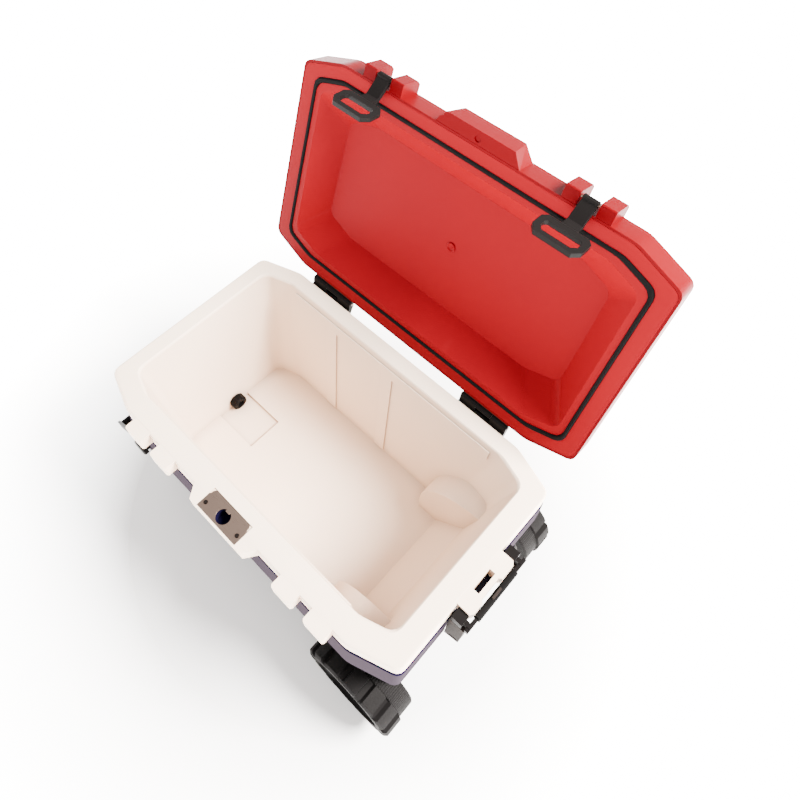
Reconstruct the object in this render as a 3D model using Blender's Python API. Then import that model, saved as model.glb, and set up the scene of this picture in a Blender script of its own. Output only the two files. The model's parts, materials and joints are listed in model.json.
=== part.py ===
"""Rolling hard cooler: insulated tub, hinged lid, two pull latches, tow handles and wheels.

Metres, +Z up.  +X points to the wheel end, -X to the drain end, -Y to the front with the
latches, +Y to the hinges.  Pieces are modelled about the middle of the body on the ground;
the last step moves everything so that the origin is under the middle of the whole outline.
The lid is modelled closed, then turned open about its hinge axis by its parent empty.
"""
import math

import bmesh
import bpy
from mathutils import Matrix, Vector

# ---- driving dimensions -----------------------------------------------------------------
LENGTH = 0.700          # rim, drain end to wheel end
WIDTH = 0.412           # rim, front to back
RIM_Z = 0.380           # top of the rim
RIM_BAND = 0.035        # height of the white band under the rim top
BODY_BOTTOM = 0.020     # underside of the body
FLOOR_Z = 0.053         # inside floor of the tub
CORNER_X = 0.082        # each body corner is cut back this far along X ...
CORNER_Y = 0.028        # ... and this far along Y
CORNER_R = 0.016        # rounding of the end corners
SOFT_R = 0.050          # rounding of the shallow corners
GAP = 0.0003            # clearance between touching pieces
SHELL_T = 0.004         # wall of the blue body
LINER_T = 0.0035        # wall of the white tub

LID_GAP = 0.0035        # flange plane of the closed lid above the rim
LID_WALL = 0.042        # height of the lid's side wall
LID_OPEN = math.radians(108.4)
HINGE_Y = WIDTH / 2 + 0.0107
HINGE_Z = RIM_Z + 0.008
HINGE_X = 0.185         # centre of each hinge from the middle
HINGE_W = 0.098

LATCH_X = 0.186         # centre of each latch from the middle
LATCH_Y = -0.2205
LATCH_RISE = 0.005      # latch axis above the lid's flange plane
LATCH_GAP = 0.027       # opening between the keeper bumps
LATCH_W = 0.024
LATCH_ARM = 0.036       # straight part of each latch, from its pin to the bend
LATCH_NECK = 0.016      # from the bend to the wide loop
LATCH_T = 0.007
LATCH_FOLD = math.radians(55.0)
BUMP_Y = -0.2265        # outer face of the front bumps
BUMP_W = 0.042

AXLE_X = 0.285
WHEEL_R = 0.095
WHEEL_IN = 0.161        # inner face of a wheel from the middle
WHEEL_OUT = 0.233
AXLE_R = 0.006
LUGS = 14               # tread blocks round the outer half of each wheel
LUG_DEPTH = 0.0080

TOW_TILT = math.radians(11.0)
TOW_Y = 0.0625          # each tow tube from the middle
TOW_TOP = Vector((0.3615, 0.0, 0.352))

BAIL_X = -0.240         # pivot of the swing-up handle
BAIL_Z = 0.290
BAIL_REACH = 0.1537
BAIL_ANGLE = math.radians(218.7)
BAIL_Y = 0.2139         # middle of each arm
BAIL_T = 0.0050

DRAIN_Y = 0.008
DRAIN_Z = 0.066

OUTLINE_X = 0.0078      # middle of the whole outline with the lid open, from the body's middle
OUTLINE_Y = 0.0807

FLANGE_Z = RIM_Z + LID_GAP
HALF_L = LENGTH / 2
HALF_W = WIDTH / 2


# ---- scene and material helpers ----------------------------------------------------------
def clear_scene():
    for obj in list(bpy.data.objects):
        bpy.data.objects.remove(obj, do_unlink=True)


def material(name, colour, roughness, metallic=0.0):
    mat = bpy.data.materials.new(name)
    mat.use_nodes = True
    shader = mat.node_tree.nodes["Principled BSDF"]
    shader.inputs["Base Color"].default_value = (*colour, 1.0)
    shader.inputs["Roughness"].default_value = roughness
    shader.inputs["Metallic"].default_value = metallic
    return mat


def add_object(name, bm, mat, smooth=35.0):
    bmesh.ops.remove_doubles(bm, verts=bm.verts, dist=1e-6)
    bmesh.ops.recalc_face_normals(bm, faces=bm.faces)
    mesh = bpy.data.meshes.new(name)
    bm.to_mesh(mesh)
    bm.free()
    if mat is not None:
        mesh.materials.append(mat)
    mesh.shade_smooth()
    mesh.set_sharp_from_angle(angle=math.radians(smooth))
    obj = bpy.data.objects.new(name, mesh)
    bpy.context.collection.objects.link(obj)
    return obj


def guide(obj):
    obj.hide_render = True
    obj.display_type = "WIRE"
    return obj


def boolean(obj, other, operation):
    mod = obj.modifiers.new(other.name, "BOOLEAN")
    mod.operation = operation
    mod.object = other
    mod.solver = "EXACT"
    guide(other)


def cut(obj, *others):
    for other in others:
        boolean(obj, other, "DIFFERENCE")


def join(obj, *others):
    for other in others:
        boolean(obj, other, "UNION")


# ---- shape helpers -----------------------------------------------------------------------
def fillet(points, radii, steps):
    """Round each corner of a convex outline; every corner gives steps + 1 points."""
    result = []
    count = len(points)
    for i, (radius, n) in enumerate(zip(radii, steps)):
        corner = Vector(points[i])
        before = (Vector(points[i - 1]) - corner).normalized()
        after = (Vector(points[(i + 1) % count]) - corner).normalized()
        half = before.angle(after) / 2
        centre = corner + (before + after).normalized() * (radius / math.sin(half))
        start = corner + before * (radius / math.tan(half)) - centre
        turn = math.pi - 2 * half
        for k in range(n + 1):
            angle = turn * k / n
            c, s = math.cos(angle), math.sin(angle)
            result.append(centre + Vector((c * start.x - s * start.y, s * start.x + c * start.y)))
    return result


def plan(x0, x1, y0, y1, z, radius=CORNER_R, cx=CORNER_X, cy=CORNER_Y):
    """The body's outline at height z: a rectangle with its corners cut back and rounded."""
    corners = [(x1, y0 + cy), (x1, y1 - cy), (x1 - cx, y1), (x0 + cx, y1),
               (x0, y1 - cy), (x0, y0 + cy), (x0 + cx, y0), (x1 - cx, y0)]
    radii = [radius, radius, SOFT_R, SOFT_R] * 2
    steps = [3, 3, 2, 2] * 2
    return [Vector((p.x, p.y, z)) for p in fillet(corners, radii, steps)]


def inset_plan(inset, z):
    """The rim's outline moved inwards by inset."""
    return plan(-HALF_L + inset, HALF_L - inset, -HALF_W + inset, HALF_W - inset, z)


def loft(name, rings, mat, closed=False):
    """Join rings of equal length into one solid, capped at both ends unless closed."""
    bm = bmesh.new()
    rows = [[bm.verts.new(p) for p in ring] for ring in rings]
    pairs = list(zip(rows, rows[1:]))
    if closed:
        pairs.append((rows[-1], rows[0]))
    for low, high in pairs:
        for i in range(len(low)):
            j = (i + 1) % len(low)
            bm.faces.new((low[i], low[j], high[j], high[i]))
    if not closed:
        bm.faces.new(rows[0])
        bm.faces.new(rows[-1])
    return add_object(name, bm, mat)


def prism(name, outline, origin, u, v, along, mat):
    """A flat outline in axes u and v, pushed along a vector."""
    bm = bmesh.new()
    origin, u, v, along = Vector(origin), Vector(u), Vector(v), Vector(along)
    base = [bm.verts.new(origin + u * a + v * b) for a, b in outline]
    top = [bm.verts.new(p.co + along) for p in base]
    bm.faces.new(base)
    bm.faces.new(top)
    for i in range(len(base)):
        j = (i + 1) % len(base)
        bm.faces.new((base[i], base[j], top[j], top[i]))
    return add_object(name, bm, mat)


def box(name, low, high, mat=None):
    bm = bmesh.new()
    bmesh.ops.create_cube(bm, size=1.0)
    low, high = Vector(low), Vector(high)
    for vert in bm.verts:
        vert.co = Vector((low[k] + (vert.co[k] + 0.5) * (high[k] - low[k]) for k in range(3)))
    return add_object(name, bm, mat)


def turned(name, profile, origin, axis, mat, sides=32, radius_at=None, turns=None):
    """Turn (radius, distance) points about an axis; the profile's loop is closed.

    turns gives the positions round the axis as shares of a whole turn; otherwise they are even.
    """
    turns = turns or [k / sides for k in range(sides)]
    sides = len(turns)
    axis = Vector(axis).normalized()
    side = Vector((1, 0, 0)) if abs(axis.x) < 0.7 else Vector((0, 1, 0))
    side = (side - axis * side.dot(axis)).normalized()
    other = axis.cross(side)
    bm = bmesh.new()
    rows = []
    for k, turn in enumerate(turns):
        angle = 2 * math.pi * turn
        out = side * math.cos(angle) + other * math.sin(angle)
        row = []
        for index, (radius, distance) in enumerate(profile):
            r = radius_at(k, index, radius) if radius_at else radius
            row.append(bm.verts.new(Vector(origin) + out * r + axis * distance))
        rows.append(row)
    for k in range(sides):
        low, high = rows[k], rows[(k + 1) % sides]
        for i in range(len(profile)):
            j = (i + 1) % len(profile)
            corners = [low[i], low[j], high[j], high[i]]
            flat = len({tuple(round(c, 7) for c in v.co) for v in corners}) < 3
            if not flat:
                bm.faces.new(corners)
    return add_object(name, bm, mat)


def rod(name, start, end, radius, mat, sides=20, bore=0.0):
    """A straight round rod, or a tube when bore is given."""
    start, end = Vector(start), Vector(end)
    axis = (end - start).normalized()
    length = (end - start).length
    side = Vector((1, 0, 0)) if abs(axis.x) < 0.7 else Vector((0, 1, 0))
    side = (side - axis * side.dot(axis)).normalized()
    other = axis.cross(side)

    def ring(r, distance):
        return [start + axis * distance + side * (r * math.cos(2 * math.pi * k / sides))
                + other * (r * math.sin(2 * math.pi * k / sides)) for k in range(sides)]

    if bore:
        rings = [ring(radius, 0), ring(radius, length), ring(bore, length), ring(bore, 0)]
        return loft(name, rings, mat, closed=True)
    return loft(name, [ring(radius, 0), ring(radius, length)], mat)


def rounded_rect(width, height, radius, steps=3):
    corners = [(width / 2, -height / 2), (width / 2, height / 2),
               (-width / 2, height / 2), (-width / 2, -height / 2)]
    return [tuple(p) for p in fillet(corners, [radius] * 4, [steps] * 4)]



# ---- materials ---------------------------------------------------------------------------
def make_materials():
    return {
        "blue": material("body_blue", (0.035, 0.05, 0.16), 0.35),
        "white": material("liner_white", (0.85, 0.82, 0.78), 0.45),
        "foam": material("foam_cream", (0.82, 0.76, 0.52), 0.9),
        "red": material("lid_red", (0.70, 0.045, 0.04), 0.38),
        "black": material("black_plastic", (0.02, 0.02, 0.02), 0.45),
        "rubber": material("black_rubber", (0.015, 0.015, 0.015), 0.8),
        "steel": material("stainless_steel", (0.60, 0.56, 0.54), 0.3, 1.0),
        "aluminium": material("aluminium", (0.72, 0.72, 0.73), 0.3, 1.0),
        "grey": material("grey_plastic", (0.42, 0.37, 0.36), 0.4),
        "tyre": material("tyre_black", (0.02, 0.02, 0.02), 0.75),
    }


MAT = {}


# ---- the body ----------------------------------------------------------------------------
BODY_SIDE = (           # height, then how far the body's ends and its front and back stand
    (0.0260, 0.0240, 0.0200),   # inside the rim's outline
    (0.2000, 0.0050, 0.0010),
    (0.2620, -0.0020, -0.0050),
    (0.3120, -0.0020, -0.0045),
    (0.3380, -0.0015, -0.0010),
    (0.3447, 0.0035, 0.0040),
)


def body_rings(sunk, bottom):
    """Rings of the body's side moved inwards by sunk, with a rounded edge at the bottom."""
    edge = 0.006
    levels = [(bottom, BODY_SIDE[0][1] + edge, BODY_SIDE[0][2] + edge),
              (bottom + edge, *BODY_SIDE[0][1:]), *BODY_SIDE[1:]]
    return [plan(-HALF_L + dx + sunk, HALF_L - dx - sunk, -HALF_W + dy + sunk, HALF_W - dy - sunk, z)
            for z, dx, dy in levels]


def wheel_wells(name, radius, inner_y):
    """Two wheel wells as one cutter: an arch over each wheel, open downwards and outwards."""
    steps = 14
    arch = [(AXLE_X + radius * math.cos(math.pi * k / steps),
             WHEEL_R + radius * math.sin(math.pi * k / steps)) for k in range(steps + 1)]
    arch += [(AXLE_X - radius, -0.05), (AXLE_X + radius, -0.05)]
    bm = bmesh.new()
    for side in (-1, 1):
        near = [bm.verts.new((x, side * inner_y, z)) for x, z in arch]
        far = [bm.verts.new((x, side * 0.30, z)) for x, z in arch]
        bm.faces.new(near)
        bm.faces.new(far)
        for i in range(len(arch)):
            j = (i + 1) % len(arch)
            bm.faces.new((near[i], near[j], far[j], far[i]))
    return guide(add_object(name, bm, None))


def tow_axis_point(side, distance):
    direction = Vector((math.sin(TOW_TILT), 0, math.cos(TOW_TILT)))
    return Vector((TOW_TOP.x, side * TOW_Y, TOW_TOP.z)) + direction * distance


def tow_channels(name, margin):
    """Cutters that sink the two tow tubes into the wheel end of the body."""
    bm = bmesh.new()
    back = 0.0085 + margin
    for side in (-1, 1):
        corners = []
        for distance in (-0.330 - margin, 0.02):
            centre = tow_axis_point(side, distance)
            for dx in (-back, 0.10):
                for dy in (-0.0095 - margin, 0.0095 + margin):
                    corners.append(bm.verts.new(centre + Vector((dx, dy, 0))))
        a, b, c, d, e, f, g, h = corners
        for face in ((a, b, d, c), (e, f, h, g), (a, b, f, e), (c, d, h, g), (a, c, g, e), (b, d, h, f)):
            bm.faces.new(face)
    return guide(add_object(name, bm, None))


TUB_LEVELS = (          # height, then the inside wall's x0, x1, y0, y1 at that height
    (FLOOR_Z, -0.306, 0.194, -0.142, 0.152),
    (0.130, -0.309, 0.255, -0.147, 0.157),
    (0.370, -0.317, 0.308, -0.1632, 0.1732),
)


def tub_size(z):
    """Inside walls of the tub at height z; the wheel end is a ramp."""
    index = 0 if z < TUB_LEVELS[1][0] else 1
    low, high = TUB_LEVELS[index], TUB_LEVELS[index + 1]
    share = (z - low[0]) / (high[0] - low[0])
    return [a + (b - a) * share for a, b in zip(low[1:], high[1:])]


def tub_ring(z, grow):
    """Outline of the tub's inside at height z, moved outwards by grow."""
    x0, x1, y0, y1 = tub_size(z)
    return plan(x0 - grow, x1 + grow, y0 - grow, y1 + grow, z, 0.020, 0.055, 0.018)


def tub_rings(grow, floor, top):
    """Rings of a body that follows the tub's inside walls from floor to top."""
    rings = [tub_ring(z, grow) for z in (TUB_LEVELS[0][0], TUB_LEVELS[1][0], top)]
    rings[0] = [Vector((p.x, p.y, floor)) for p in rings[0]]
    return rings


def sump(name, grow):
    """Recess in the tub floor in front of the drain, as a box grown outwards by grow."""
    return box(name, (-0.3063 - grow, -0.040 - grow, FLOOR_Z - 0.008 - grow),
               (-0.200 + grow, 0.040 + grow, FLOOR_Z + 0.004))


def outer_shell():
    solid = loft("outer_shell", body_rings(0.0, BODY_BOTTOM), MAT["blue"])
    inner = body_rings(SHELL_T, BODY_BOTTOM + SHELL_T)
    lip = [Vector((p.x, p.y, RIM_Z)) for p in inner[-1]]
    hollow = loft("shell_hollow", inner + [lip], None)
    cut(hollow, wheel_wells("shell_well_inside", WHEEL_R + 0.012 + SHELL_T, WHEEL_IN - 0.012),
        tow_channels("shell_channel_inside", SHELL_T))
    cut(solid, wheel_wells("shell_well", WHEEL_R + 0.012, WHEEL_IN - 0.008),
        tow_channels("shell_channel", 0.0), hollow)
    cut(solid, rod("shell_axle_hole", (AXLE_X, -0.3, WHEEL_R), (AXLE_X, 0.3, WHEEL_R), AXLE_R + GAP, None),
        rod("shell_drain_hole", (-0.4, DRAIN_Y, DRAIN_Z), (-0.31, DRAIN_Y, DRAIN_Z), 0.0125, None))
    cut(solid, rod("shell_bail_holes", (BAIL_X, -0.3, BAIL_Z), (BAIL_X, 0.3, BAIL_Z), 0.0048, None))
    return solid


def foam_core():
    solid = loft("foam_core", body_rings(SHELL_T + GAP, BODY_BOTTOM + SHELL_T + GAP), MAT["foam"])
    tub = loft("foam_hollow", tub_rings(LINER_T + GAP, FLOOR_Z - LINER_T - GAP, RIM_Z), None)
    cut(tub, wheel_wells("foam_tub_well", 0.1342, 0.1188))
    join(tub, sump("foam_sump", LINER_T + GAP))
    cut(solid, wheel_wells("foam_well", WHEEL_R + 0.0163, WHEEL_IN - 0.0123),
        tow_channels("foam_channel", SHELL_T + GAP), tub)
    cut(solid, rod("foam_axle_hole", (AXLE_X, -0.3, WHEEL_R), (AXLE_X, 0.3, WHEEL_R), AXLE_R + GAP, None),
        rod("foam_drain_hole", (-0.4, DRAIN_Y, DRAIN_Z), (-0.25, DRAIN_Y, DRAIN_Z), 0.0125, None),
        rod("foam_bail_holes", (BAIL_X, -0.3, BAIL_Z), (BAIL_X, 0.3, BAIL_Z), 0.0048, None))
    return solid


def wall_strip(name, x0, x1, z0, z1, back):
    """A raised strip on the tub's front or back wall, following the wall's draft."""
    proud, sunk = 0.0030, 0.0015
    out = 1 if back else -1
    low, high = (tub_size(z)[3 if back else 2] for z in (z0, z1))
    outline = [(low + out * sunk, z0), (high + out * sunk, z1),
               (high - out * proud, z1), (low - out * proud, z0)]
    return prism(name, outline, (x0, 0, 0), (0, 1, 0), (0, 0, 1), (x1 - x0, 0, 0), None)


def liner():
    """The white tub and rim in one piece."""
    band = RIM_Z - RIM_BAND
    outside = tub_rings(LINER_T, FLOOR_Z - LINER_T, band)
    rim = [inset_plan(d, z) for z, d in ((band, 0.0), (RIM_Z - 0.004, 0.0), (RIM_Z - 0.001, 0.0015),
                                         (RIM_Z, 0.004))]
    solid = loft("liner", outside + rim, MAT["white"])
    mouth = [tub_ring(z, grow) for z, grow in ((0.3785, 0.0012), (0.3802, 0.0030), (0.3920, 0.0040))]
    inside = loft("tub_inside", tub_rings(0.0, FLOOR_Z, 0.3755) + mouth, None)
    cut(inside, wheel_wells("tub_well", 0.138, 0.115))
    join(inside, sump("tub_sump", 0.0))
    join(solid, sump("liner_sump", LINER_T))
    bumps = []
    for side in (-1, 1):
        for part in (-1, 1):
            centre = side * LATCH_X + part * (LATCH_GAP / 2 + BUMP_W / 2)
            outline = [(-BUMP_W / 2, 0), (-BUMP_W / 2, BUMP_Y + 0.003), (-BUMP_W / 2 + 0.003, BUMP_Y),
                       (BUMP_W / 2 - 0.003, BUMP_Y), (BUMP_W / 2, BUMP_Y + 0.003), (BUMP_W / 2, 0)]
            outline = [(centre + a, b if b else -0.2035) for a, b in outline]
            bumps.append(prism(f"keeper_bump_{side}_{part}", outline, (0, 0, 0.350), (1, 0, 0), (0, 1, 0),
                               (0, 0, 0.0292), None))
    centre_outline = [(-0.079, -0.2035), (-0.062, BUMP_Y - 0.001), (0.062, BUMP_Y - 0.001), (0.079, -0.2035)]
    bumps.append(prism("centre_bump", centre_outline, (0, 0, 0.350), (1, 0, 0), (0, 1, 0),
                       (0, 0, 0.0293), None))
    end_outline = [(0.3475, -0.053), (0.372, -0.053), (0.3765, -0.047), (0.3765, -0.027), (0.3715, -0.023),
                   (0.3715, 0.017), (0.3765, 0.021), (0.3765, 0.047), (0.372, 0.053), (0.3475, 0.053)]
    bumps.append(prism("end_bump", end_outline, (0, 0, 0.350), (1, 0, 0), (0, 1, 0), (0, 0, 0.0294), None))
    join(solid, *bumps)
    cut(solid, wheel_wells("liner_well", 0.1345, 0.1185), inside)
    for back in (False, True):
        tag = "back" if back else "front"
        join(solid, wall_strip(f"rib_{tag}_a", -0.160, -0.132, 0.058, 0.3404, back),
             wall_strip(f"rib_{tag}_b", -0.013, 0.013, 0.058, 0.3404, back),
             wall_strip(f"ledge_{tag}", -0.245, 0.235, 0.3400, 0.3660, back))
    cut(solid, box("opener_recess", (-0.0465, -0.2255, RIM_Z - 0.0023), (0.0465, -0.1875, RIM_Z + 0.01)),
        rod("opener_pocket", (0, -0.209, 0.352), (0, -0.209, 0.39), 0.0150, None, 24),
        box("tie_slot", (0.3535, -0.021, 0.34), (0.3640, 0.019, 0.39)),
        rod("liner_drain_hole", (-0.4, DRAIN_Y, DRAIN_Z), (-0.25, DRAIN_Y, DRAIN_Z), 0.0125, None))
    for side in (-1, 1):
        cut(solid, rod(f"opener_screw_hole_{side}", (side * 0.0385, -0.213, 0.366),
                       (side * 0.0385, -0.213, 0.39), 0.0021, None, 12))
    return solid


def feet():
    for side, tag in ((-1, "front"), (1, "back")):
        outline = rounded_rect(0.070, 0.034, 0.008)
        foot = prism(f"foot_{tag}", outline, (-0.245, side * 0.125, 0.0), (1, 0, 0), (0, 1, 0),
                     (0, 0, BODY_BOTTOM - GAP), MAT["rubber"])
        foot.data.shade_flat()


def opener():
    plate = prism("opener_plate", [(-0.046, -0.225), (0.046, -0.225), (0.046, -0.199), (0.0435, -0.197),
                                   (0.0435, -0.193), (0.0405, -0.188), (-0.0405, -0.188),
                                   (-0.0435, -0.193), (-0.0435, -0.197), (-0.046, -0.199)],
                  (0, 0, RIM_Z - 0.0020), (1, 0, 0), (0, 1, 0), (0, 0, 0.0020), MAT["steel"])
    hole = rod("opener_hole", (0, -0.209, 0.37), (0, -0.209, 0.39), 0.0125, None, 24)
    cut(hole, box("opener_tang", (-0.0045, -0.2005, 0.36), (0.0045, -0.18, 0.40)))
    cut(plate, hole)
    wall, floor = 0.0132, 0.3540
    turned("opener_cup", [(0.0, 0.3523), (0.0145, 0.3523), (0.0145, 0.3772), (wall, 0.3772), (wall, floor),
                          (0.0, floor)], (0, -0.209, 0), (0, 0, 1), MAT["blue"], 24)
    for side, tag in ((-1, "left"), (1, "right")):
        x = side * 0.0385
        cut(plate, rod(f"plate_screw_hole_{tag}", (x, -0.213, 0.37), (x, -0.213, 0.39), 0.0021, None, 12))
        z = RIM_Z + GAP
        profile = [(0.0, -0.013), (0.0018, -0.013), (0.0018, 0.0), (0.0037, 0.0), (0.0030, 0.0016),
                   (0.0, 0.0018)]
        turned(f"opener_screw_{tag}", profile, (x, -0.213, z), (0, 0, 1), MAT["steel"], 16)


# ---- the lid (modelled closed) -----------------------------------------------------------
def lid_shell():
    f = FLANGE_Z
    rings = [inset_plan(d, f + z) for z, d in ((0.060, 0.060), (0.0565, 0.016), (0.052, 0.006),
                                               (LID_WALL, 0.0), (0.0, 0.0),
                                               (0.0, 0.0035), (LID_WALL - 0.002, 0.0040),
                                               (0.050, 0.0105), (0.053, 0.0185), (0.0562, 0.061))]
    solid = loft("lid_shell", rings, MAT["red"])
    width = 0.024
    for side in (-1, 1):
        for part in (-1, 1):
            centre = side * LATCH_X + part * (0.0155 + width / 2)
            bump = prism(f"lid_bump_{side}_{part}",
                         [(-0.2035, f + 0.0006), (-0.2035, f + 0.044), (-0.221, f + 0.044),
                          (-0.2275, f + 0.036), (-0.2275, f + 0.0020), (-0.2260, f + 0.0006)],
                         (centre - width / 2, 0, 0), (0, 1, 0), (0, 0, 1), (width, 0, 0), None)
            join(solid, bump)
            near, far = centre - part * (width / 2 + 0.001), centre + part * (width / 2 - 0.004)
            cut(solid, rod(f"lid_pin_hole_{side}_{part}", (near, LATCH_Y, f + LATCH_RISE),
                           (far, LATCH_Y, f + LATCH_RISE), 0.0023, None, 16))
    front = loft("lid_front_bump",
                 [[Vector((s * a, y, f + z)) for s, a, y in ((-1, 0.079, -0.2035), (1, 0.079, -0.2035),
                                                            (1, w, -0.2275), (-1, w, -0.2275))]
                  for z, w in ((0.0006, 0.062), (0.040, 0.056))], None)
    join(solid, front)
    cut(solid, turned("lid_front_dimple", [(0.0, -0.001), (0.0056, -0.001), (0.0056, 0.0016), (0.0, 0.0016)],
                      (0.0, -0.215, f + 0.0006), (0, 0, 1), None, 20))
    return solid


PAN = (0.303, 0.163)        # half sizes of the lid recess at the flange
PAN_FLOOR = (0.262, 0.117)  # half sizes of its floor
PAN_DEPTH = 0.042
SEAL = (0.3175, 0.1775)     # half sizes of the seal's centre line


def box_plan(half_x, half_y, z, radius=0.020):
    return plan(-half_x, half_x, -half_y, half_y, z, radius, 0.060, 0.020)


def lid_liner():
    f = FLANGE_Z
    t = 0.003
    rings = [box_plan(PAN_FLOOR[0] + t, PAN_FLOOR[1] + t, f + PAN_DEPTH + t),
             box_plan(PAN[0] + t, PAN[1] + t, f + 0.0065),
             inset_plan(0.0043, f + 0.0065),
             inset_plan(0.0038, f),
             box_plan(SEAL[0] + 0.0036, SEAL[1] + 0.0036, f),
             box_plan(SEAL[0] + 0.0034, SEAL[1] + 0.0034, f + 0.0035),
             box_plan(SEAL[0] - 0.0034, SEAL[1] - 0.0034, f + 0.0035),
             box_plan(SEAL[0] - 0.0036, SEAL[1] - 0.0036, f),
             box_plan(PAN[0], PAN[1], f),
             box_plan(PAN_FLOOR[0], PAN_FLOOR[1], f + PAN_DEPTH)]
    solid = loft("lid_liner", rings, MAT["red"])
    join(solid, turned("pan_boss", [(0.0, -0.0008), (0.0040, -0.0008), (0.0066, -0.0024), (0.0082, -0.0018),
                                    (0.0092, 0.0012), (0.0, 0.0012)],
                       (0.0, 0.0, f + PAN_DEPTH), (0, 0, 1), None, 24))
    return solid


def lid_foam():
    f = FLANGE_Z
    rings = [inset_plan(0.0615, f + 0.0558), inset_plan(0.019, f + 0.0526), inset_plan(0.0112, f + 0.0496),
             inset_plan(0.0048, f + LID_WALL - 0.003), inset_plan(0.0048, f + 0.0068),
             box_plan(PAN[0] + 0.0034, PAN[1] + 0.0034, f + 0.0068),
             box_plan(PAN_FLOOR[0] + 0.0034, PAN_FLOOR[1] + 0.0034, f + PAN_DEPTH + 0.0034)]
    return loft("lid_foam", rings, MAT["foam"])


def lid_seal():
    f = FLANGE_Z
    section = [(0.0031, 0.0032), (-0.0031, 0.0032), (-0.0031, -0.0015), (-0.0016, -0.0030),
               (0.0016, -0.0030), (0.0031, -0.0015)]
    rings = [box_plan(SEAL[0] + a, SEAL[1] + a, f + z) for a, z in section]
    return loft("lid_seal", rings, MAT["rubber"], closed=True)


# ---- hinges ------------------------------------------------------------------------------
def arc(cy, cz, radius, start, end, steps):
    return [(cy + radius * math.cos(math.radians(start + (end - start) * k / steps)),
             cz + radius * math.sin(math.radians(start + (end - start) * k / steps)))
            for k in range(steps + 1)]


def hinge(side, tag):
    """Body leaf with two knuckles, lid leaf with one between them, and the pin."""
    barrel = 0.0064
    x0 = side * HINGE_X - HINGE_W / 2
    back = HALF_W + GAP
    axes = ((0, 1, 0), (0, 0, 1))
    knuckle = 0.0325
    pin_y, pin_z = HINGE_Y, HINGE_Z

    leaf = box(f"hinge_body_{tag}", (x0, back, 0.346), (x0 + HINGE_W, back + 0.0035, RIM_Z - 0.003),
               MAT["black"])
    section = [(back + 0.0008, 0.352), (back + 0.0026, 0.352), (pin_y + 0.0052, pin_z - 0.0072)]
    section += arc(pin_y, pin_z, barrel, -35, 180, 8)
    section += [(back + 0.0026, RIM_Z - 0.004), (back + 0.0008, RIM_Z - 0.004)]
    for index, start in enumerate((x0, x0 + HINGE_W - knuckle)):
        part = prism(f"knuckle_{tag}_{index}", section, (start, 0, 0), *axes, (knuckle, 0, 0), None)
        join(leaf, part)
    join(leaf, box(f"hinge_web_{tag}", (x0 + knuckle - 0.001, back + 0.0008, 0.3640),
                   (x0 + HINGE_W - knuckle + 0.001, pin_y + 0.0025, 0.3720)))
    cut(leaf, rod(f"hinge_bore_{tag}", (x0 - 0.01, pin_y, pin_z), (x0 + HINGE_W + 0.01, pin_y, pin_z),
                  0.0028, None, 16))

    plate = box(f"hinge_lid_{tag}", (x0 + 0.002, back, FLANGE_Z + 0.002),
                (x0 + HINGE_W - 0.002, back + 0.0034, FLANGE_Z + 0.036), MAT["black"])
    section = [(back + 0.0008, FLANGE_Z + 0.030), (back + 0.0024, FLANGE_Z + 0.030)]
    section += [(pin_y + 0.0040, pin_z + 0.0063)] + arc(pin_y, pin_z, barrel, 30, -180, 8)
    section += [(back + 0.0008, pin_z)]
    middle = prism(f"lid_knuckle_{tag}", section, (x0 + knuckle + GAP, 0, 0), *axes,
                   (HINGE_W - 2 * knuckle - 2 * GAP, 0, 0), None)
    join(plate, middle)
    cut(plate, rod(f"lid_bore_{tag}", (x0 - 0.01, pin_y, pin_z), (x0 + HINGE_W + 0.01, pin_y, pin_z),
                   0.0028, None, 16))
    rod(f"hinge_pin_{tag}", (x0 - 0.0015, pin_y, pin_z), (x0 + HINGE_W + 0.0015, pin_y, pin_z),
        0.0025, MAT["steel"], 16)
    return plate


# ---- latches (modelled closed) -----------------------------------------------------------
def latch(side, tag):
    """An arm that hangs between the keeper bumps, with a slotted pull loop across its end."""
    x = side * LATCH_X
    z = FLANGE_Z + LATCH_RISE
    half = LATCH_T / 2
    out = Vector((0, -math.sin(math.radians(45)), -math.cos(math.radians(45))))
    across = Vector((0, -out.z, out.y))
    miter = half * math.tan(math.radians(22.5))
    root = Vector((0, LATCH_Y, z - LATCH_ARM)) + out * LATCH_NECK
    end = root + out * 0.002
    section = arc(LATCH_Y, z, 0.0055, -50, 230, 10)
    section += [(LATCH_Y - half, z - 0.010), (LATCH_Y - half, z - LATCH_ARM + miter),
                (end.y - across.y * half, end.z - across.z * half),
                (end.y + across.y * half, end.z + across.z * half),
                (LATCH_Y + half, z - LATCH_ARM - miter), (LATCH_Y + half, z - 0.010)]
    arm = prism(f"latch_{tag}", section, (x - LATCH_W / 2, 0, 0), (0, 1, 0), (0, 0, 1), (LATCH_W, 0, 0),
                MAT["black"])
    root.x = x
    thick = across * 0.008
    outline = [(-0.039, 0.008), (-0.032, 0.0), (0.032, 0.0), (0.039, 0.008), (0.039, 0.030),
               (0.029, 0.042), (-0.029, 0.042), (-0.039, 0.030)]
    loop = prism(f"latch_loop_{tag}", outline, root - thick * 0.5, (1, 0, 0), out, thick, None)
    slot = prism(f"latch_slot_{tag}", [(-0.025, 0.011), (0.025, 0.011), (0.029, 0.015), (0.029, 0.026),
                                       (0.022, 0.033), (-0.022, 0.033), (-0.029, 0.026), (-0.029, 0.015)],
                 root - thick, (1, 0, 0), out, thick * 2, None)
    join(arm, loop)
    cut(arm, slot, rod(f"latch_bore_{tag}", (x - 0.02, LATCH_Y, z), (x + 0.02, LATCH_Y, z), 0.0023, None, 16))
    pin = rod(f"latch_pin_{tag}", (x - 0.0330, LATCH_Y, z), (x + 0.0330, LATCH_Y, z), 0.0020,
              MAT["steel"], 16)
    return arm, pin


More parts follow.
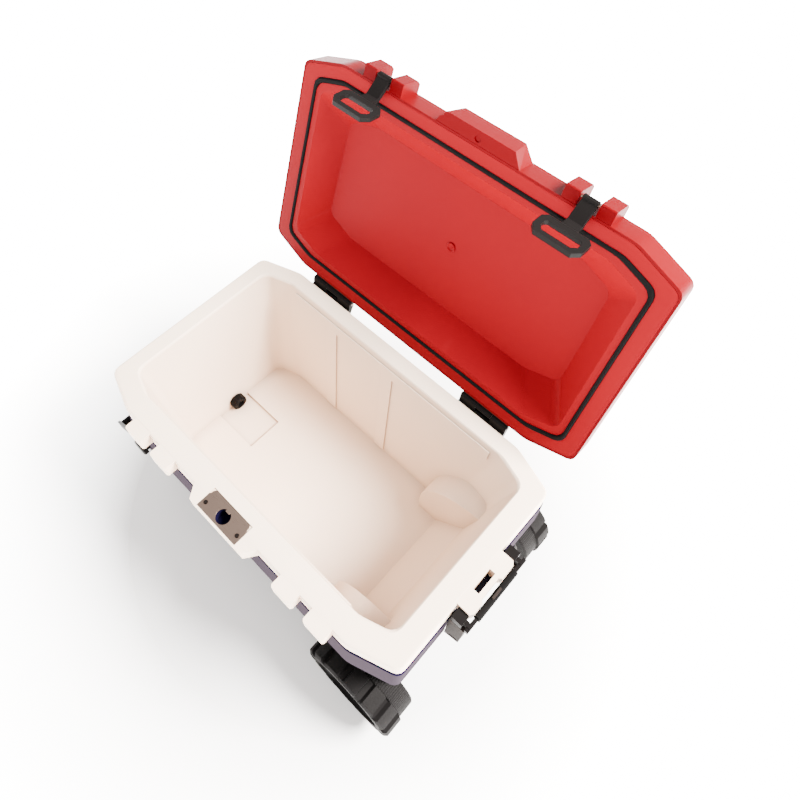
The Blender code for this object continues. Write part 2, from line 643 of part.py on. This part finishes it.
# ---- drain -------------------------------------------------------------------------------
def drain():
    centre = (0, DRAIN_Y, DRAIN_Z)
    inward = (1, 0, 0)
    outer = -0.3345
    turned("drain_fitting", [(0.0085, outer - 0.020), (0.0110, outer - 0.020), (0.0110, outer - 0.004),
                             (0.0180, outer - 0.004), (0.0180, outer), (0.0120, outer), (0.0120, -0.2880),
                             (0.0085, -0.2880)],
           centre, inward, MAT["black"], 24)
    turned("drain_nut", [(0.0123, -0.3055), (0.0175, -0.3055), (0.0175, -0.2900), (0.0160, -0.2885),
                         (0.0123, -0.2885)],
           centre, inward, MAT["black"], 24,
           radius_at=lambda k, index, r: r - (0.0012 if k % 3 == 0 and index in (1, 2, 3) else 0.0))
    turned("drain_washer", [(0.0113, outer - 0.0063), (0.0165, outer - 0.0063), (0.0165, outer - 0.0043),
                            (0.0113, outer - 0.0043)],
           centre, inward, MAT["rubber"], 24)
    cap = turned("drain_cap", [(0.0, outer - 0.0235), (0.0150, outer - 0.0235), (0.0165, outer - 0.0220),
                         (0.0165, outer - 0.0066), (0.0113, outer - 0.0066), (0.0113, outer - 0.0203),
                         (0.0, outer - 0.0203)],
           centre, inward, MAT["black"], 24,
           radius_at=lambda k, index, r: r - (0.0010 if k % 3 == 0 and index in (1, 2, 3) else 0.0))
    hang(pivot_empty("drain_cap_axis", (outer, DRAIN_Y, DRAIN_Z)), cap)


# ---- swing-up handle at the drain end ------------------------------------------------------
def bail():
    along = Vector((math.cos(BAIL_ANGLE), 0, math.sin(BAIL_ANGLE)))
    across = Vector((-along.z, 0, along.x))
    pivot = Vector((BAIL_X, 0, BAIL_Z))
    outline = [(math.cos(a) * 0.012, math.sin(a) * 0.012)
               for a in (math.radians(90 + 180 * k / 6) for k in range(7))]
    outline += [(0.040, -0.0080), (BAIL_REACH + 0.008, -0.0080), (BAIL_REACH + 0.008, 0.0080),
                (0.040, 0.0080)]
    arms = []
    for side, tag in ((-1, "front"), (1, "back")):
        start = pivot + Vector((0, side * BAIL_Y - BAIL_T / 2, 0))
        arms.append(prism("carry_handle" if side < 0 else "carry_arm_back", outline, start, along, across,
                          (0, BAIL_T, 0), MAT["black"]))
        face = BAIL_Y + BAIL_T / 2 + GAP
        turned(f"carry_boss_{tag}", [(0.0, 0.0093), (0.0140, 0.0093), (0.0165, 0.0075), (0.0165, 0.0),
                                     (0.0045, 0.0), (0.0045, -0.0105), (0.0, -0.0105)],
               (BAIL_X, side * face, BAIL_Z), (0, side, 0), MAT["black"], 24)
    handle = arms[0]
    join(handle, arms[1])
    middle = pivot + along * BAIL_REACH
    reach = Vector((0, BAIL_Y, 0))
    join(handle, rod("carry_bar", middle - reach, middle + reach, 0.0070, None, 16))
    cut(handle, rod("carry_bore", (BAIL_X, -0.25, BAIL_Z), (BAIL_X, 0.25, BAIL_Z), 0.0048, None, 16))
    grip = rod("carry_grip", middle - Vector((0, 0.070, 0)), middle + Vector((0, 0.070, 0)), 0.0130,
               MAT["rubber"], 20, bore=0.0073)
    hang(pivot_empty("carry_handle_axis", pivot), handle, grip)


# ---- telescoping tow handle ----------------------------------------------------------------
def tow_handle():
    radii = ((0.0070, 0.0061), (0.0058, 0.0049), (0.0046, 0.0036))
    spans = ((-0.318, 0.0), (-0.314, 0.0015), (-0.310, 0.012))
    names = ("tow_sleeve", "tow_middle_tube", "tow_inner_tube")
    half = 0.0085
    middle, inner = [], []
    for side, tag in ((-1, "front"), (1, "back")):
        tubes = [rod(f"{name}_{tag}", tow_axis_point(side, low), tow_axis_point(side, high), radius,
                     MAT["aluminium"], 20, bore=bore)
                 for name, (radius, bore), (low, high) in zip(names, radii, spans)]
        middle.append(tubes[1])
        inner.append(tubes[2])
        y = side * TOW_Y
        outline = [(0.3523, 0.2490), (0.3790, 0.2640), (0.3800, 0.3500), (0.3523, 0.3500)]
        bracket = prism(f"tow_bracket_{tag}", outline, (0, y - half, 0), (1, 0, 0), (0, 0, 1),
                        (0, 2 * half, 0), MAT["grey"])
        low, high = tow_axis_point(side, -0.12), tow_axis_point(side, 0.02)
        behind = prism(f"tow_bracket_open_{tag}", [(low.x - 0.03, low.z), (low.x, low.z), (high.x, high.z),
                                                   (high.x - 0.03, high.z)],
                       (0, y - 0.0068, 0), (1, 0, 0), (0, 0, 1), (0, 0.0136, 0), None)
        slot = prism(f"tow_bracket_slot_{tag}", [(0.3600, 0.2620), (0.3745, 0.2690), (0.3745, 0.2740),
                                                 (0.3600, 0.2670)],
                     (0, y + side * 0.0076, 0), (1, 0, 0), (0, 0, 1), (0, side * 0.03, 0), None)
        cut(bracket, rod(f"tow_bracket_bore_{tag}", low, high, 0.0073, None, 20), behind, slot)

    frame = box("tow_crossbar", (0.3795, -0.0715, 0.3575), (0.3860, 0.0715, 0.3685), MAT["black"])
    for side, tag in ((-1, "front"), (1, "back")):
        y = side * TOW_Y
        join(frame, box(f"tow_block_{tag}", (0.3535, y - 0.0090, 0.3552), (0.3735, y + 0.0090, 0.3740)))
        join(frame, box(f"tow_link_{tag}", (0.3700, y - 0.0035, 0.3565), (0.3845, y + 0.0035, 0.3695)))
        cut(frame, rod(f"tow_block_bore_{tag}", tow_axis_point(side, -0.01), tow_axis_point(side, 0.0125),
                       0.0049, None, 20))
    cut(frame, box("tow_button_well", (0.3805, -0.0108, 0.3625), (0.3850, 0.0108, 0.3800)))
    grip = prism("tow_grip", rounded_rect(0.0113, 0.0170, 0.004), (0.38285, -0.046, 0.3630), (1, 0, 0),
                 (0, 0, 1), (0, 0.092, 0), MAT["rubber"])
    cut(grip, box("tow_grip_core", (0.3792, -0.1, 0.3572), (0.3863, 0.1, 0.3688)),
        box("tow_button_window", (0.3805, -0.0108, 0.3680), (0.3850, 0.0108, 0.3900)))
    button = box("tow_release_button", (0.3808, -0.0105, 0.3665), (0.3847, 0.0105, 0.3745), MAT["grey"])
    hang(pivot_empty("tow_handle_axis", TOW_TOP), frame, grip, button, *inner)
    hang(pivot_empty("tow_middle_axis", TOW_TOP), *middle)


# ---- wheels ------------------------------------------------------------------------------
def wheel(side, tag):
    centre = (AXLE_X, 0, WHEEL_R)
    out = (0, side, 0)
    inner, outer = WHEEL_IN, WHEEL_OUT
    step = inner + 0.034
    profile = [(0.0700, inner), (0.0875, inner), (0.0905, inner + 0.003), (0.0905, step),
               (WHEEL_R, step + 0.001), (WHEEL_R, outer - 0.004), (0.0900, outer), (0.0700, outer)]
    shares = (0.0, 0.21, 0.42, 0.62, 0.69, 0.93)     # four points on each block, two in its groove
    lug_turns = [(lug + share) / LUGS for lug in range(LUGS) for share in shares]

    def tread(k, index, radius):
        return radius - LUG_DEPTH if index in (4, 5, 6) and k % len(shares) > 3 else radius

    tyre = turned(f"tyre_{tag}", profile, centre, out, MAT["tyre"], radius_at=tread, turns=lug_turns)
    bore = AXLE_R + GAP
    hub = turned(f"hub_{tag}", [(bore, inner + 0.002), (0.0180, inner + 0.002), (0.0180, inner + 0.026),
                                (0.0620, inner + 0.030), (0.0620, inner + 0.004), (0.0697, inner + 0.004),
                                (0.0697, outer - 0.004), (0.0640, outer - 0.003), (0.0620, outer - 0.014),
                                (0.0240, outer - 0.020), (0.0200, outer - 0.014), (bore, outer - 0.014)],
                 centre, out, MAT["black"], 40)
    cap = turned(f"hub_cap_{tag}", [(0.0, outer - 0.0130), (0.0150, outer - 0.0130), (0.0150, outer - 0.0070),
                                    (0.0110, outer - 0.0045), (0.0, outer - 0.0040)],
                 centre, out, MAT["black"], 24)
    hang(pivot_empty(f"wheel_axis_{tag}", centre), tyre, hub, cap)
    turned(f"axle_washer_{tag}", [(bore, inner - 0.0076), (0.0130, inner - 0.0076), (0.0130, inner + 0.0015),
                                  (bore, inner + 0.0015)],
           centre, out, MAT["steel"], 20)


def axle():
    end = WHEEL_OUT - 0.0135
    rod("axle", (AXLE_X, -end, WHEEL_R), (AXLE_X, end, WHEEL_R), AXLE_R, MAT["steel"], 20)


# ---- assembly ----------------------------------------------------------------------------
def pivot_empty(name, location):
    empty = bpy.data.objects.new(name, None)
    empty.location = location
    bpy.context.collection.objects.link(empty)
    return empty


def with_tools(objects):
    """The objects and every boolean operand that shapes them."""
    found = []
    queue = list(objects)
    while queue:
        obj = queue.pop()
        if obj in found:
            continue
        found.append(obj)
        queue += [mod.object for mod in obj.modifiers if mod.type == "BOOLEAN"]
    return found


def hang(empty, *objects):
    """Hold objects and their operands on an empty, as they stand now."""
    for obj in with_tools(objects):
        obj.parent = empty
        obj.matrix_parent_inverse = Matrix.Translation(-Vector(empty.location))


def build_lid():
    hinge_axis = pivot_empty("lid_hinge_axis", (0, HINGE_Y, HINGE_Z))
    hang(hinge_axis, lid_shell(), lid_liner(), lid_foam(), lid_seal())
    for side, tag in ((-1, "left"), (1, "right")):
        hang(hinge_axis, hinge(side, tag))
        latch_axis = pivot_empty(f"latch_axis_{tag}", (side * LATCH_X, LATCH_Y, FLANGE_Z + LATCH_RISE))
        arm, pin = latch(side, tag)
        hang(latch_axis, arm)
        latch_axis.rotation_euler.x = LATCH_FOLD
        hang(hinge_axis, latch_axis, pin)
    hinge_axis.rotation_euler.x = -LID_OPEN


def main():
    clear_scene()
    MAT.update(make_materials())
    outer_shell()
    foam_core()
    liner()
    feet()
    opener()
    build_lid()
    drain()
    bail()
    tow_handle()
    axle()
    for side, tag in ((-1, "front"), (1, "back")):
        wheel(side, tag)
    for obj in bpy.data.objects:
        if obj.parent is None:
            obj.location -= Vector((OUTLINE_X, OUTLINE_Y, 0))


main()
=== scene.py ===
"""Looks for the rolling cooler: materials, softened edges, floor, light and camera.

Lengths are in metres, in the frame that the CAD gives, and places are worked out from the CAD
nodes' boxes.
"""
import json
import math

import bmesh
import bpy
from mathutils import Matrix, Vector


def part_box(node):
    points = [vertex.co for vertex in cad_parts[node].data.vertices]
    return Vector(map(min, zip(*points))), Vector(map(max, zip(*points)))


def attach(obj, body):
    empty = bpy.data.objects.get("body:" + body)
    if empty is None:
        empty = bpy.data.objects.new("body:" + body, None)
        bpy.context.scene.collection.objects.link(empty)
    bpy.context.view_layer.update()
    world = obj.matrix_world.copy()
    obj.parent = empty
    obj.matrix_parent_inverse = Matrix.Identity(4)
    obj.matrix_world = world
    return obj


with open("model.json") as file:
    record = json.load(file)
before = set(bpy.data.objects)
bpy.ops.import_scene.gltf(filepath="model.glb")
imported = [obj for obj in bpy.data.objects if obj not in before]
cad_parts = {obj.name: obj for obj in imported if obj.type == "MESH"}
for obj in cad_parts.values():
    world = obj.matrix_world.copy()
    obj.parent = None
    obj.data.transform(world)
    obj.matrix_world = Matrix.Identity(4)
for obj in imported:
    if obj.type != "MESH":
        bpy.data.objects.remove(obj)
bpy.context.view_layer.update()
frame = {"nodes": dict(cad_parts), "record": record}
nodes = frame["nodes"]


# ---- places ------------------------------------------------------------------------------
shell_low, shell_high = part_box("outer_shell")
_, liner_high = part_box("liner")
axle_low, axle_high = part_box("axle")
_, tyre_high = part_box("tyre_front")
MID_X = (shell_low.x + shell_high.x) / 2    # middle of the body
MID_Y = (shell_low.y + shell_high.y) / 2
RIM_TOP = liner_high.z
SEAM = shell_high.z                         # top of the body, just under the rim
AXLE = (axle_low + axle_high) / 2
PLAIN_TREAD = 0.034                         # width of the tyre's inner part, which has no blocks
TREAD_STEP = MID_Y - tyre_high.y + PLAIN_TREAD      # from the body's middle to the tread blocks

# ---- camera and light --------------------------------------------------------------------
CAMERA_PLACE = (0.4205, -0.3072, 1.1032)    # from the middle of the rim's top
CAMERA_TURN = (35.5216, -0.2634, 43.5140)   # degrees about X, Y and Z
CAMERA_LENS = 31.617                        # millimetres, for a sensor 36 mm wide
CAMERA_SHIFT = (0.0288, -0.1292)
WORLD = 2.3                                 # strength of the even light all round
WORLD_COLOUR = (1.0, 0.985, 0.97)
KEY_PLACE = (2.1, 1.2, 2.5)                 # from the middle of the rim's top, as is the fill's
KEY = 1450.0                                # watts
KEY_SIZE = 1.5
KEY_COLOUR = (1.0, 0.985, 0.96)
FILL_PLACE = (-0.9, -2.6, 2.6)
FILL = 30.0
FILL_SIZE = 2.4
FLOOR_SIZE = 30.0                           # half the floor's side
GLOW = 16.0                                 # how strongly the floor glows away from the object
GLOW_COLOUR = (1.0, 0.995, 0.99)
GLOW_REACH = (0.42, 1.00)                   # distances over which that glow sets in

# ---- colours -----------------------------------------------------------------------------
WHITE = (0.72, 0.565, 0.440)
WHITE_SHADE = (0.67, 0.520, 0.405)
WHITE_WORN = (0.78, 0.64, 0.52)
# painted shade for the liner's corners and recesses
WHITE_PAINTED_SHADE = (0.48, 0.355, 0.270)
RED = (0.132, 0.0012, 0.0036)
RED_SHADE = (0.105, 0.0018, 0.0045)
RED_WORN = (0.17, 0.006, 0.009)
# painted shade for the lid's corners and recesses; also the darker cloud tone on the lid shell
RED_PAINTED_SHADE_AND_CLOUD = (0.060, 0.0006, 0.0018)
# the lid shell's red: the same red painted darker, as painted shade against the key light on its
# outside
RED_SHELL_PAINTED_DARKER = (0.082, 0.0006, 0.0020)
# painted reflection: the lilac-grey that the pale floor gives the navy body seen at a slant, with its
# cloud and scuff tones
BLUE_PAINTED_REFLECTION = (0.032, 0.025, 0.031)
BLUE_REFLECTION_CLOUD = (0.025, 0.020, 0.027)
BLUE_WORN = (0.050, 0.042, 0.050)
NAVY = (0.0035, 0.0025, 0.0120)
BLACK = (0.0036, 0.0030, 0.0029)
BLACK_SHADE = (0.0055, 0.0048, 0.0046)
BLACK_WORN = (0.012, 0.011, 0.011)
FLOOR = (0.90, 0.880, 0.868)
FLOOR_SHADE = (0.88, 0.862, 0.850)

NAVY_BAND = (0.0090, 0.0065)    # the painted floor reflection gives way to navy between these depths under the body's top
RING = (0.0645, 0.0672)         # inner and outer radius of the light ring on a hub
RING_EDGE = 0.0003
RING_COLOUR = (0.075, 0.066, 0.060)
GROOVES = 120.0                 # fine grooves round the tyre's inner part
GROOVE_DEPTH = 0.0012


# ---- materials ---------------------------------------------------------------------------
class Surface:
    """A Principled material whose colour, roughness and bump come from noise in object space."""

    def __init__(self, name, colour, roughness, metallic=0.0):
        self.mat = bpy.data.materials.new(name)
        self.mat.use_nodes = True
        self.tree = self.mat.node_tree
        self.bsdf = self.tree.nodes["Principled BSDF"]
        self.bsdf.inputs["Base Color"].default_value = (*colour, 1.0)
        self.bsdf.inputs["Roughness"].default_value = roughness
        self.bsdf.inputs["Metallic"].default_value = metallic
        coords = self.tree.nodes.new("ShaderNodeTexCoord")
        self.place = coords.outputs["Object"]
        self.colour = None
        self.base = (*colour, 1.0)
        self.height = None

    def node(self, kind, **values):
        made = self.tree.nodes.new(kind)
        for key, value in values.items():
            setattr(made, key, value)
        return made

    def link(self, out, into):
        self.tree.links.new(out, into)

    def stretched(self, scale):
        mapping = self.node("ShaderNodeMapping")
        mapping.inputs["Scale"].default_value = scale
        self.link(self.place, mapping.inputs["Vector"])
        return mapping.outputs["Vector"]

    def noise(self, scale, detail=3.0, rough=0.5, stretch=(1, 1, 1)):
        tex = self.node("ShaderNodeTexNoise")
        tex.inputs["Scale"].default_value = scale
        tex.inputs["Detail"].default_value = detail
        tex.inputs["Roughness"].default_value = rough
        self.link(self.stretched(stretch), tex.inputs["Vector"])
        return tex.outputs["Fac"]

    def ramp(self, value, low, high, to_low=0.0, to_high=1.0):
        made = self.node("ShaderNodeMapRange", clamp=True)
        made.inputs["From Min"].default_value = low
        made.inputs["From Max"].default_value = high
        made.inputs["To Min"].default_value = to_low
        made.inputs["To Max"].default_value = to_high
        self.link(value, made.inputs["Value"])
        return made.outputs["Result"]

    def tint(self, mask, colour):
        """Mix the colour so far towards another where the mask is high."""
        mix = self.node("ShaderNodeMix", data_type="RGBA")
        if self.colour is None:
            mix.inputs["A"].default_value = self.base
        else:
            self.link(self.colour, mix.inputs["A"])
        mix.inputs["B"].default_value = (*colour, 1.0)
        self.link(mask, mix.inputs["Factor"])
        self.colour = mix.outputs["Result"]
        self.link(self.colour, self.bsdf.inputs["Base Color"])

    def rough(self, value, low, high, to_low, to_high):
        self.link(self.ramp(value, low, high, to_low, to_high), self.bsdf.inputs["Roughness"])

    def bump(self, value, depth):
        made = self.node("ShaderNodeBump")
        made.inputs["Strength"].default_value = 1.0
        made.inputs["Distance"].default_value = depth
        self.link(value, made.inputs["Height"])
        if self.height is not None:
            self.link(self.height, made.inputs["Normal"])
        self.height = made.outputs["Normal"]
        self.link(self.height, self.bsdf.inputs["Normal"])

    def set(self, **values):
        for key, value in values.items():
            self.bsdf.inputs[key.replace("_", " ")].default_value = value


def moulded(name, colour, shade, worn, roughness, shine=0.1, peel=0.00005):
    """Moulded plastic: faint cloudiness, orange peel, fine grain and a few long scuffs."""
    made = Surface(name, colour, roughness)
    made.set(Specular_IOR_Level=shine)
    cloud = made.noise(5.0, 4.0)
    made.tint(made.ramp(cloud, 0.35, 0.75, 0.0, 0.45), shade)
    scuff = made.noise(38.0, 2.0, 0.4, (1.0, 0.12, 0.5))
    made.tint(made.ramp(scuff, 0.72, 0.80, 0.0, 0.15), worn)
    grain = made.noise(900.0, 2.0)
    made.rough(grain, 0.3, 0.7, roughness - 0.05, roughness + 0.07)
    made.bump(grain, peel * 0.4)
    made.bump(made.noise(160.0, 2.0), peel)
    return made


def rubbery(name, colour, shade, roughness, shine=0.05, depth=0.00012):
    """Rubber: cloudy, with a fine matte grain."""
    made = Surface(name, colour, roughness)
    made.set(Specular_IOR_Level=shine)
    made.tint(made.ramp(made.noise(9.0, 4.0), 0.4, 0.75, 0.0, 0.6), shade)
    grain = made.noise(650.0, 3.0, 0.6)
    made.rough(grain, 0.3, 0.7, roughness - 0.06, roughness + 0.08)
    made.bump(grain, depth)
    return made


def brushed(name, colour, shade, roughness, stretch=(0.04, 1.0, 1.0)):
    """Metal with fine lines along the axis that stretch makes long, and a faint unevenness."""
    made = Surface(name, colour, roughness, 1.0)
    lines = made.noise(1500.0, 2.0, 0.6, stretch)
    made.tint(made.ramp(lines, 0.35, 0.65, 0.0, 0.5), shade)
    made.rough(lines, 0.3, 0.7, roughness - 0.08, roughness + 0.12)
    made.bump(lines, 0.00002)
    made.bump(made.noise(12.0, 2.0), 0.0002)
    return made


def paint_recess_shade(surface, colour, strength, reach):
    """Paint shade into corners and recesses: colour takes over where the ambient occlusion node finds
    the surface hemmed in within reach.
    """
    hemmed = surface.node("ShaderNodeAmbientOcclusion", samples=8)
    hemmed.inputs["Distance"].default_value = reach
    surface.tint(surface.ramp(hemmed.outputs["AO"], 0.95, 0.35, 0.0, strength), colour)


def split(surface):
    """The X, Y and Z outputs of a surface's object coordinates."""
    made = surface.node("ShaderNodeSeparateXYZ")
    surface.link(surface.place, made.inputs["Vector"])
    return made.outputs["X"], made.outputs["Y"], made.outputs["Z"]


def maths(surface, operation, first, second=None):
    """One sum on outputs or plain numbers."""
    made = surface.node("ShaderNodeMath", operation=operation)
    for value, slot in ((first, made.inputs[0]), (second, made.inputs[1])):
        if isinstance(value, float):
            slot.default_value = value
        elif value is not None:
            surface.link(value, slot)
    return made.outputs["Value"]


def distance(surface, first, second):
    """Length of the sides first and second taken at a right angle."""
    square = maths(surface, "ADD", maths(surface, "MULTIPLY", first, first),
                   maths(surface, "MULTIPLY", second, second))
    return maths(surface, "SQRT", square)


def from_axle(surface):
    """How far a point on either wheel is from the axle along X and along Z."""
    x, _, z = split(surface)
    return maths(surface, "SUBTRACT", x, AXLE.x), maths(surface, "SUBTRACT", z, AXLE.z)


white = moulded("warm_white", WHITE, WHITE_SHADE, WHITE_WORN, 0.42, 0.10)
white.set(Subsurface_Weight=0.05, Subsurface_Scale=0.004)
# paints shade into the liner's corners and recesses from ambient occlusion
paint_recess_shade(white, WHITE_PAINTED_SHADE, strength=0.75, reach=0.030)
red = moulded("lid_red", RED, RED_SHADE, RED_WORN, 0.36, 0.012)
# paints shade into the red lid's corners and recesses from ambient occlusion
paint_recess_shade(red, RED_PAINTED_SHADE_AND_CLOUD, strength=0.6, reach=0.025)
# the lid shell's copy of the lid red, painted darker as shade against the key light
red_shell_painted_darker = moulded("lid_red_painted_darker", RED_SHELL_PAINTED_DARKER, RED_PAINTED_SHADE_AND_CLOUD, RED_SHADE, 0.36, 0.012)

# the body's lilac-grey is a painted reflection of the pale floor, and the body's own shine is turned
# off
blue = moulded("body_blue", BLUE_PAINTED_REFLECTION, BLUE_REFLECTION_CLOUD, BLUE_WORN, 0.45, 0.0)
blue.tint(blue.ramp(split(blue)[2], *(SEAM - depth for depth in NAVY_BAND)), NAVY)
# a dark navy for the slab under the tie-down slot, which is painted shade
navy = moulded("slot_painted_shade_navy", (0.0045, 0.0035, 0.0110), NAVY, BLUE_WORN, 0.34, 0.05)

foam = moulded("foam", (0.80, 0.74, 0.52), (0.74, 0.66, 0.42), (0.85, 0.80, 0.62), 0.85)
black = moulded("black_plastic", BLACK, BLACK_SHADE, BLACK_WORN, 0.34, 0.02)
rubber = rubbery("black_rubber", (0.0026, 0.0024, 0.0024), (0.0042, 0.0040, 0.0038), 0.60, 0.012)

tyre = rubbery("tyre_rubber", (0.0046, 0.0041, 0.0040), (0.0080, 0.0072, 0.0068), 0.62, 0.03, 0.0002)
across, up = from_axle(tyre)
turn = maths(tyre, "ARCTAN2", up, across)
fine = maths(tyre, "SINE", maths(tyre, "MULTIPLY", turn, GROOVES))
aside = maths(tyre, "ABSOLUTE", maths(tyre, "SUBTRACT", split(tyre)[1], MID_Y))
inner_part = tyre.ramp(aside, TREAD_STEP, TREAD_STEP - 0.001)
tyre.bump(maths(tyre, "MULTIPLY", tyre.ramp(fine, -0.4, 0.4), inner_part), GROOVE_DEPTH)

hub = moulded("hub_plastic", BLACK, BLACK_SHADE, BLACK_WORN, 0.34, 0.045)
reach = distance(hub, *from_axle(hub))
ring = maths(hub, "MULTIPLY", hub.ramp(reach, RING[0], RING[0] + RING_EDGE),
             hub.ramp(reach, RING[1], RING[1] - RING_EDGE))
hub.tint(ring, RING_COLOUR)

steel = brushed("stainless", (0.150, 0.105, 0.084), (0.115, 0.080, 0.064), 0.34)
tube = brushed("satin_tube", (0.16, 0.15, 0.15), (0.10, 0.095, 0.095), 0.30, (1.0, 1.0, 0.03))
grey = moulded("grey_plastic", (0.016, 0.0125, 0.0110), (0.009, 0.007, 0.006), (0.03, 0.025, 0.022),
               0.45, 0.01)
screw = brushed("screw_steel", (0.022, 0.017, 0.015), (0.014, 0.011, 0.010), 0.30)

FINISH = {              # one for each material slot
    "body_blue": blue, "liner_white": white, "foam_cream": foam, "lid_red": red,
    "black_plastic": black, "black_rubber": rubber, "stainless_steel": steel,
    "aluminium": tube, "grey_plastic": grey, "tyre_black": tyre,
}
OWN_FINISH = {          # nodes that have a finish of their own
    # the lid shell takes the painted-darker copy of the lid red
    "lid_shell": red_shell_painted_darker,
    "hub_front": hub, "hub_back": hub, "opener_screw_left": screw, "opener_screw_right": screw,
}
for part in frame["record"]["subparts"]:
    mesh = nodes[part["node"]].data
    mesh.materials.clear()
    mesh.materials.append(OWN_FINISH.get(part["node"], FINISH[part["material_slot"]]).mat)


# ---- softened CAD edges --------------------------------------------------------------------
WELD = 0.000002         # corners closer than this are one
BEVEL_ANGLE = math.radians(24.0)        # edges sharper than this are rounded
SHARP_ANGLE = math.radians(35.0)        # on the other nodes, edges sharper than this stay sharp
SOFT = {                # width of the rounded edges of each node
    "liner": 0.0016, "outer_shell": 0.0030, "lid_shell": 0.0030, "lid_liner": 0.0028,
    "latch_left": 0.0012, "latch_right": 0.0012, "carry_handle": 0.0012, "carry_grip": 0.0012,
    "tow_crossbar": 0.0010, "tow_grip": 0.0012, "tow_bracket_front": 0.0012, "tow_bracket_back": 0.0012,
    "hinge_body_left": 0.0008, "hinge_body_right": 0.0008, "hinge_lid_left": 0.0008,
    "hinge_lid_right": 0.0008, "tyre_front": 0.0014, "tyre_back": 0.0014, "opener_plate": 0.0003,
    "drain_fitting": 0.0006, "drain_nut": 0.0008, "foot_front": 0.0015, "foot_back": 0.0015,
    "tow_release_button": 0.0006,
}


def soften():
    """Weld the triangles' corners, round the sharp edges a little and keep flat faces flat."""
    for name, obj in nodes.items():
        weld = obj.modifiers.new("joined_corners", "WELD")
        weld.merge_threshold = WELD
        if name in SOFT:
            bevel = obj.modifiers.new("soft_edge", "BEVEL")
            bevel.width = SOFT[name]
            bevel.segments = 2
            bevel.limit_method = "ANGLE"
            bevel.angle_limit = BEVEL_ANGLE
            bevel.use_clamp_overlap = True
        own = obj.data.attributes.get("custom_normal")
        if own is not None:
            obj.data.attributes.remove(own)
        obj.data.shade_smooth()
        if name in SOFT:
            even = obj.modifiers.new("flat_faces", "WEIGHTED_NORMAL")
            even.keep_sharp = False
        else:
            edges = obj.modifiers.new("sharp_edges", "EDGE_SPLIT")
            edges.split_angle = SHARP_ANGLE


# ---- small pieces --------------------------------------------------------------------------
SLOT = (0.3588, -0.001, -0.0325)    # the dark slab under the tie-down slot, painted shade, from the middle of the rim's top
SHADE_SLAB_HALF = (0.0075, 0.024, 0.0015)   # half its length, width and thickness


def added(name, bm):
    """The mesh that bm holds, as a new object in the scene."""
    mesh = bpy.data.meshes.new(name)
    bm.to_mesh(mesh)
    bm.free()
    obj = bpy.data.objects.new(name, mesh)
    bpy.context.collection.objects.link(obj)
    return obj


def slab(name, low, high, finish, body, edge=0.0006):
    """A block with rounded edges, fixed to a body."""
    bm = bmesh.new()
    bmesh.ops.create_cube(bm, size=1.0)
    size = Vector(high) - Vector(low)
    bmesh.ops.scale(bm, vec=size, verts=bm.verts)
    bmesh.ops.translate(bm, vec=(Vector(high) + Vector(low)) / 2, verts=bm.verts)
    bmesh.ops.bevel(bm, geom=bm.edges, offset=edge, segments=2, profile=0.7, affect="EDGES")
    obj = added(name, bm)
    obj.data.shade_smooth()
    obj.data.materials.append(finish.mat)
    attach(obj, body)


def slot_shade_slab():
    """A dark navy slab under the tie-down slot at the wheel end, standing in as painted shade for what
    is seen down the slot.
    """
    middle = (MID_X + SLOT[0], MID_Y + SLOT[1], RIM_TOP + SLOT[2])
    low = [place - half for place, half in zip(middle, SHADE_SLAB_HALF)]
    high = [place + half for place, half in zip(middle, SHADE_SLAB_HALF)]
    slab("slot_shade_slab", low, high, navy, "cooler")


# ---- floor, light and camera ---------------------------------------------------------------
def floor():
    """Pale paper that glows away from the object, so that it stays white there."""
    bm = bmesh.new()
    bmesh.ops.create_grid(bm, x_segments=8, y_segments=8, size=FLOOR_SIZE)
    obj = added("studio_floor", bm)
    paper = Surface("paper_floor", FLOOR, 0.9)
    paper.set(Specular_IOR_Level=0.0)
    paper.tint(paper.ramp(paper.noise(3.0, 3.0), 0.4, 0.7, 0.0, 0.2), FLOOR_SHADE)
    paper.bump(paper.noise(300.0, 2.0), 0.00005)
    x, y, _ = split(paper)
    away = distance(paper, maths(paper, "SUBTRACT", x, MID_X), maths(paper, "SUBTRACT", y, MID_Y))
    glow = paper.ramp(away, *GLOW_REACH, 0.0, GLOW)
    paper.bsdf.inputs["Emission Color"].default_value = (*GLOW_COLOUR, 1.0)
    paper.link(glow, paper.bsdf.inputs["Emission Strength"])
    obj.data.materials.append(paper.mat)


def area_light(name, place, aim, size, power, colour=(1, 1, 1)):
    """A round light at a place, turned towards aim."""
    data = bpy.data.lights.new(name, "AREA")
    data.shape = "DISK"
    data.size = size
    data.energy = power
    data.color = colour
    obj = bpy.data.objects.new(name, data)
    obj.location = place
    obj.rotation_euler = (Vector(aim) - Vector(place)).to_track_quat("-Z", "Y").to_euler()
    bpy.context.collection.objects.link(obj)


def studio():
    """Even light all round, a warm key light from the wheel end and back, and a weak fill."""
    world = bpy.data.worlds.new("studio")
    world.use_nodes = True
    background = world.node_tree.nodes["Background"]
    background.inputs["Color"].default_value = (*WORLD_COLOUR, 1.0)
    background.inputs["Strength"].default_value = WORLD
    bpy.context.scene.world = world
    aim = Vector((MID_X, MID_Y, RIM_TOP))
    area_light("key", aim + Vector(KEY_PLACE), aim, KEY_SIZE, KEY, KEY_COLOUR)
    area_light("fill", aim + Vector(FILL_PLACE), aim, FILL_SIZE, FILL)


def camera():
    """Looks down into the open tub from above the wheel end's front corner."""
    data = bpy.data.cameras.new("camera")
    data.sensor_width = 36.0
    data.lens = CAMERA_LENS
    data.shift_x, data.shift_y = CAMERA_SHIFT
    obj = bpy.data.objects.new("camera", data)
    x, y, z = CAMERA_PLACE
    obj.location = (MID_X + x, MID_Y + y, RIM_TOP + z)
    obj.rotation_euler = [math.radians(turn) for turn in CAMERA_TURN]
    bpy.context.collection.objects.link(obj)
    bpy.context.scene.camera = obj


slot_shade_slab()
soften()
floor()
studio()
camera()
